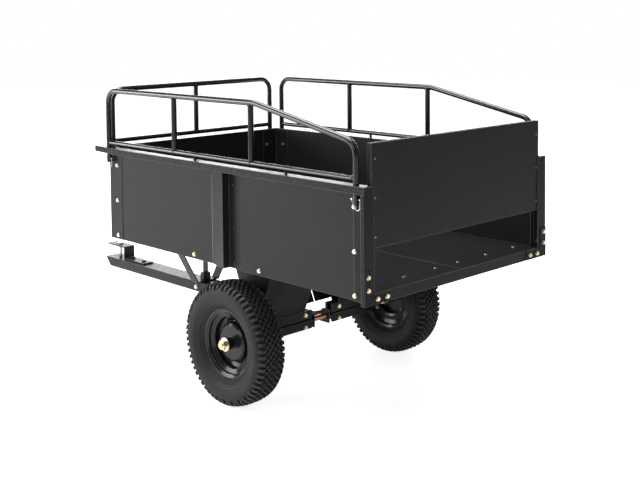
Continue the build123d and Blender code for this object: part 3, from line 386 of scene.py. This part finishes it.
def build_tyre(name, cy, sgn, body, node):
    V, F = [], []
    NS, NP = 74, 204
    # sidewall rings: mould line, bead line and a low decorative band
    def relief(s):
        a = abs(s)
        h = 0.0
        for c0, wd, amp in ((0.0720, 0.0007, 0.0007), (0.0905, 0.0009, 0.0009), (0.0935, 0.0006, -0.0007), (0.1120, 0.0010, 0.0010)):
            h += amp * max(0.0, 1 - abs(a - c0) / wd / 1.6)
        return h
    svals = [-S_END + 2 * S_END * i / NS for i in range(NS + 1)]
    extra = []
    for c0 in (0.0720, 0.0905, 0.0935, 0.1120):
        for d in (-0.0016, -0.0008, 0.0, 0.0008, 0.0016):
            extra += [c0 + d, -c0 - d]
    svals = sorted(svals + [e for e in extra if abs(e) < S_END])
    for j in range(NP):
        phi = 2 * pi * j / NP
        for s in svals:
            V.append(tyre_point(cy, sgn, s, phi, relief(s)))
    n = len(svals)
    for j in range(NP):
        j2 = (j + 1) % NP
        for i in range(n - 1):
            F.append((j * n + i, j * n + i + 1, j2 * n + i + 1, j2 * n + i))
    # inner bead lips so the edge at the rim has thickness
    for side in (0, n - 1):
        base = len(V)
        w = (0.0275 if side else -0.0275)
        for j in range(NP):
            phi = 2 * pi * j / NP
            V.append((AX + 0.1146 * cos(phi), cy + sgn * w, Z_AX + 0.1146 * sin(phi)))
        for j in range(NP):
            j2 = (j + 1) % NP
            F.append((j * n + side, j2 * n + side, base + j2, base + j))
    ob = mesh_object(name, V, F, M_TYRE, body)
    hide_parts(node)

    # tread blocks
    V, F = [], []

    def lug(phi0, secs):
        """a block following the tyre's surface; secs are (s, arc offset, half width, height)"""
        base = len(V)
        for s, off, hw, h in secs:
            r = prof(s)[0] + 0.003
            for du, hh, grow in ((-1, -0.0012, 1.22), (-1, h, 0.86), (1, h, 0.86), (1, -0.0012, 1.22)):
                V.append(tyre_point(cy, sgn, s, phi0 + (off + du * hw * grow) / r, hh))
        k = len(secs)
        for i in range(k - 1):
            a, b = base + 4 * i, base + 4 * (i + 1)
            for q in range(3):
                F.append((a + q, a + q + 1, b + q + 1, b + q))
        F.append((base, base + 1, base + 2, base + 3))
        e = base + 4 * (k - 1)
        F.append((e + 3, e + 2, e + 1, e))

    NL = 60
    mm = 0.001
    for i in range(NL):
        for sd in (1, -1):
            ph = 2 * pi * (i + (0.0 if sd > 0 else 0.5)) / NL
            # shoulder bar running down the sidewall
            far = 6.0 if i % 2 else 0.0
            lug(ph, [(sd * 32.6 * mm, 1.4 * mm, 3.6 * mm, 4.4 * mm), (sd * 33.8 * mm, 1.2 * mm, 5.6 * mm, 7.0 * mm), (sd * 41.0 * mm, 0.4 * mm, 5.5 * mm, 7.8 * mm),
                     (sd * 46.5 * mm, 0.0, 5.2 * mm, 7.8 * mm), (sd * (49.5 + far * 0.5) * mm, 0.0, 4.8 * mm, 6.4 * mm), (sd * (52.5 + far) * mm, 0.0, 4.0 * mm, 4.4 * mm),
                     (sd * (54.0 + far) * mm, 0.0, 3.0 * mm, 0.2 * mm)])
            # three staggered rows of small blocks towards the centre line
            for row, (s0, s1, skew, wide, st) in enumerate(((21.8, 30.4, 2.6, 5.7, 1.0), (12.0, 20.2, -2.2, 5.5, 0.1), (1.8, 10.4, 2.2, 5.6, 1.05))):
                p2 = ph + pi / NL * st
                mid = 0.5 * (s0 + s1)
                lug(p2, [(sd * s0 * mm, -skew * mm, (wide - 1.9) * mm, 4.4 * mm), (sd * (s0 + 1.2) * mm, -skew * 0.8 * mm, (wide - 0.9) * mm, 6.4 * mm),
                         (sd * mid * mm, 0.0, wide * mm, 6.6 * mm), (sd * (s1 - 1.2) * mm, skew * 0.8 * mm, (wide - 0.9) * mm, 6.4 * mm),
                         (sd * s1 * mm, skew * mm, (wide - 1.9) * mm, 4.4 * mm)])
            # spew pips on the sidewall
            if sd * sgn > 0 and i % 9 == 0:
                lug(ph + 0.05, [(sgn * sd * 0.0805, 0.0, 0.0009, 0.0004), (sgn * sd * 0.0815, 0.0, 0.0012, 0.0012), (sgn * sd * 0.0825, 0.0, 0.0009, 0.0004)])
    ob2 = mesh_object(name + "_tread", V, F, M_TREAD, body)
    sharpen(ob2, radians(38))
    return ob, ob2


build_tyre("turf_tyre_left", 0.385, 1, "wheel_left", "tyre_left")
build_tyre("turf_tyre_right", -0.385, -1, "wheel_right", "tyre_right")

# ---------------------------------------------------------------- weld beads where the rail bars meet the hoops
def weld_ring(V, F, centre, axis, radius, bead, seed, n=20, k=6):
    """a rippled bead round a bar of that radius"""
    axis = Vector(axis).normalized()
    a = axis.orthogonal().normalized()
    b = axis.cross(a)
    base = len(V)
    for i in range(n):
        t = 2 * pi * i / n
        rp = 1.0 + 0.16 * sin(5 * t + seed) + 0.10 * sin(9 * t + 2 * seed)
        d = a * cos(t) + b * sin(t)
        for j in range(k):
            q = 2 * pi * j / k
            V.append(tuple(Vector(centre) + d * (radius + bead * rp * cos(q)) + axis * bead * rp * sin(q)))
    for i in range(n):
        for j in range(k):
            F.append((base + i * k + j, base + i * k + (j + 1) % k, base + ((i + 1) % n) * k + (j + 1) % k, base + ((i + 1) % n) * k + j))


def ax(x):
    return AX + x * 0.001


for side, sy in (("left", 1), ("right", -1)):
    V, F = [], []
    y = sy * 0.425
    weld_ring(V, F, (ax(655) - 0.0095, y, 0.810), (1, 0, 0), 0.0082, 0.0016, 0.3)
    weld_ring(V, F, (ax(-600) + 0.0095, y, 0.810), (1, 0, 0), 0.0082, 0.0016, 1.3)
    weld_ring(V, F, (ax(254), y, 1.0 - 0.0088), (0, 0, 1), 0.0095, 0.0016, 2.1)
    weld_ring(V, F, (ax(-146), y, 1.0 - 0.0096), (0, 0, 1), 0.0095, 0.0016, 0.9)
    weld_ring(V, F, (ax(254), y, 0.810 + 0.0078), (0, 0, 1), 0.0095, 0.0015, 1.7)
    weld_ring(V, F, (ax(-146), y, 0.810 + 0.0078), (0, 0, 1), 0.0095, 0.0015, 2.9)
    weld_ring(V, F, (ax(141), y, 0.810 - 0.0078), (0, 0, 1), 0.0047, 0.0012, 0.4)
    weld_ring(V, F, (ax(-307), y, 0.810 - 0.0078), (0, 0, 1), 0.0047, 0.0012, 0.8)
    mesh_object("rail_welds_" + side, V, F, M_WELD, "bed")
V, F = [], []
for sy in (1, -1):
    weld_ring(V, F, (ax(688), sy * (0.387 - 0.0095), 0.809), (0, 1, 0), 0.0082, 0.0016, 0.3 + sy)
weld_ring(V, F, (ax(688), 0, 1.0 - 0.0088), (0, 0, 1), 0.0095, 0.0016, 2.1)
weld_ring(V, F, (ax(688), 0, 0.809 + 0.0078), (0, 0, 1), 0.0095, 0.0015, 1.1)
mesh_object("rail_welds_front", V, F, M_WELD, "bed")


# ---------------------------------------------------------------- rolled bead on the flare's front bend, painted light grey as the highlight along the bend
for side, sy in (("left", 1), ("right", -1)):
    V, F = [], []
    prof_b = [(-1.5, 0.0), (-1.1, 0.9), (0.0, 1.3), (1.1, 0.9), (1.5, 0.0)]
    for z in [0.4556 + (0.7690 - 0.4556) * i / 8 for i in range(9)]:
        for px, py in prof_b:
            V.append((ax(72 + px), sy * (0.4101 + py * 0.001), z))
    n = len(prof_b)
    for i in range(8):
        for j in range(n - 1):
            F.append((i * n + j, i * n + j + 1, (i + 1) * n + j + 1, (i + 1) * n + j))
        F.append((i * n + n - 1, i * n, (i + 1) * n, (i + 1) * n + n - 1))
    F.append(tuple(range(n)))
    F.append(tuple(8 * n + j for j in reversed(range(n))))
    mesh_object("flare_highlight_bead_" + side, V, F, M_EDGE_HIGHLIGHT, "bed")


# ---------------------------------------------------------------- pressed panels on the bracket leaves
def pressed(name, origin, ex, ey, en, outline, height, slope, body, mat):
    """a raised panel with sloped sides: outline in (ex, ey) metres, pressed out along en"""
    V, F = [], []
    cx = sum(p[0] for p in outline) / len(outline)
    cy = sum(p[1] for p in outline) / len(outline)
    n = len(outline)
    rings = ((0.0, 0.0002), (0.35, height * 0.75), (1.0, height))
    for f, h in rings:
        for px, py in outline:
            d = hypot(px - cx, py - cy)
            q = 1 - slope * f / d
            V.append(tuple(Vector(origin) + Vector(ex) * (cx + (px - cx) * q) + Vector(ey) * (cy + (py - cy) * q) + Vector(en) * h))
    for r in range(len(rings) - 1):
        for i in range(n):
            F.append((r * n + i, r * n + (i + 1) % n, (r + 1) * n + (i + 1) % n, (r + 1) * n + i))
    F.append(tuple((len(rings) - 1) * n + i for i in range(n)))
    F.append(tuple(reversed(range(n))))
    ob = mesh_object(name, V, F, mat, body)
    sharpen(ob, radians(25))
    return ob


LEAF = Vector((117 - 12.4, 0, 484.3 - 243)).normalized()
for side, sy in (("left", 1), ("right", -1)):
    for fb, sx in (("rear", -1), ("front", 1)):
        ez = Vector((sx * LEAF.x, 0, LEAF.z))
        en = Vector((sx * LEAF.z, 0, -LEAF.x))
        org = Vector((AX + sx * 0.0124, 0, 0.243)) + en * 0.0026
        yy = lambda v: sy * v
        outline = [(yy(0.112), 0.030), (yy(0.270), 0.030), (yy(0.276), 0.036), (yy(0.262), 0.150), (yy(0.240), 0.205), (yy(0.142), 0.205), (yy(0.120), 0.150), (yy(0.106), 0.036)]
        if sy < 0:
            outline = outline[::-1]
        pressed("bracket_pressing_%s_%s" % (side, fb), org, (0, 1, 0), ez, en, outline, 0.0022, 0.007, "bed", M_FRAME)

# ---------------------------------------------------------------- stage
fm, fnt, fbs = new_mat("mat_studio_floor")
fco = fnt.nodes.new("ShaderNodeTexCoord").outputs["Object"]
fn = noise(fnt, fco, 4.0, 3, 0.5)
fnt.links.new(ramp(fnt, fn, [(0.3, g(0.86)), (0.7, g(0.90))]), fbs.inputs["Base Color"])
fbs.inputs["Roughness"].default_value = 0.7
flen = fnt.nodes.new("ShaderNodeVectorMath")
flen.operation = "LENGTH"
fnt.links.new(fco, flen.inputs[0])
fdiv = fnt.nodes.new("ShaderNodeMath")
fdiv.operation = "DIVIDE"
fnt.links.new(flen.outputs["Value"], fdiv.inputs[0])
fdiv.inputs[1].default_value = 8.0
fnt.links.new(ramp(fnt, fdiv.outputs[0], [(0.06, g(0.82)), (0.20, g(0.88)), (0.38, g(1.0)), (0.60, g(1.0))]), fbs.inputs["Emission Color"])
flp = fnt.nodes.new("ShaderNodeLightPath")
fst = fnt.nodes.new("ShaderNodeMath")
fst.operation = "MULTIPLY_ADD"
fnt.links.new(flp.outputs["Is Camera Ray"], fst.inputs[0])
fst.inputs[1].default_value = 0.74
fst.inputs[2].default_value = 0.26
fnt.links.new(fst.outputs[0], fbs.inputs["Emission Strength"])
fme = bpy.data.meshes.new("studio_floor")
R = 14.0
fme.from_pydata([(-R, -R, -0.001), (R, -R, -0.001), (R, R, -0.001), (-R, R, -0.001)], [], [(0, 1, 2, 3)])
fme.materials.append(fm)
floor = bpy.data.objects.new("studio_floor", fme)
bpy.context.scene.collection.objects.link(floor)

world = bpy.data.worlds.new("studio_world")
bpy.context.scene.world = world
world.use_nodes = True
wn = world.node_tree
wn.nodes.clear()
wout = wn.nodes.new("ShaderNodeOutputWorld")
wbg = wn.nodes.new("ShaderNodeBackground")
wbg.inputs["Strength"].default_value = 1.0
wn.links.new(wbg.outputs[0], wout.inputs["Surface"])
wtc = wn.nodes.new("ShaderNodeTexCoord")
wsep = wn.nodes.new("ShaderNodeSeparateXYZ")
wn.links.new(wtc.outputs["Generated"], wsep.inputs[0])
# pale backdrop low down, a broad soft ceiling
wz = ramp(wn, wsep.outputs["Z"], [(0.0, g(0.14)), (0.10, g(0.09)), (0.35, g(0.08)), (0.75, g(0.24)), (1.0, g(0.55))])
wlp = wn.nodes.new("ShaderNodeLightPath")
wcol = mixc(wn, wlp.outputs["Is Camera Ray"], wz, (1.0, 1.0, 1.0, 1.0))
wn.links.new(wcol, wbg.inputs["Color"])
bpy.context.scene.view_settings.view_transform = "Standard"
bpy.context.scene.view_settings.look = "None"


def area(name, loc, target, size, power, size_y=None, color=(1, 1, 1)):
    ld = bpy.data.lights.new(name, "AREA")
    ld.energy = power
    ld.color = color
    ld.shape = "RECTANGLE"
    ld.size = size
    ld.size_y = size_y or size
    lo = bpy.data.objects.new(name, ld)
    bpy.context.scene.collection.objects.link(lo)
    lo.location = loc
    d = Vector(target) - Vector(loc)
    lo.rotation_euler = d.to_track_quat("-Z", "Y").to_euler()
    return lo


area("key_left", (3.9, 3.9, 1.7), (0.0, 0.2, 0.5), 2.6, 165, 2.4)
area("side_soft", (-0.6, 5.2, 2.6), (0.0, 0.0, 0.5), 2.4, 45, 2.0)
area("top_soft", (0.6, 0.6, 4.6), (0.0, 0.0, 0.4), 4.2, 330, 3.4)
card = area("far_card", (4.4, -4.4, 1.35), (0.0, 0.0, 0.75), 5.2, 150, 1.9)
card.visible_camera = False
area("tail_soft", (-4.6, -1.4, 2.4), (-0.5, 0.0, 0.5), 1.6, 6, 2.2)
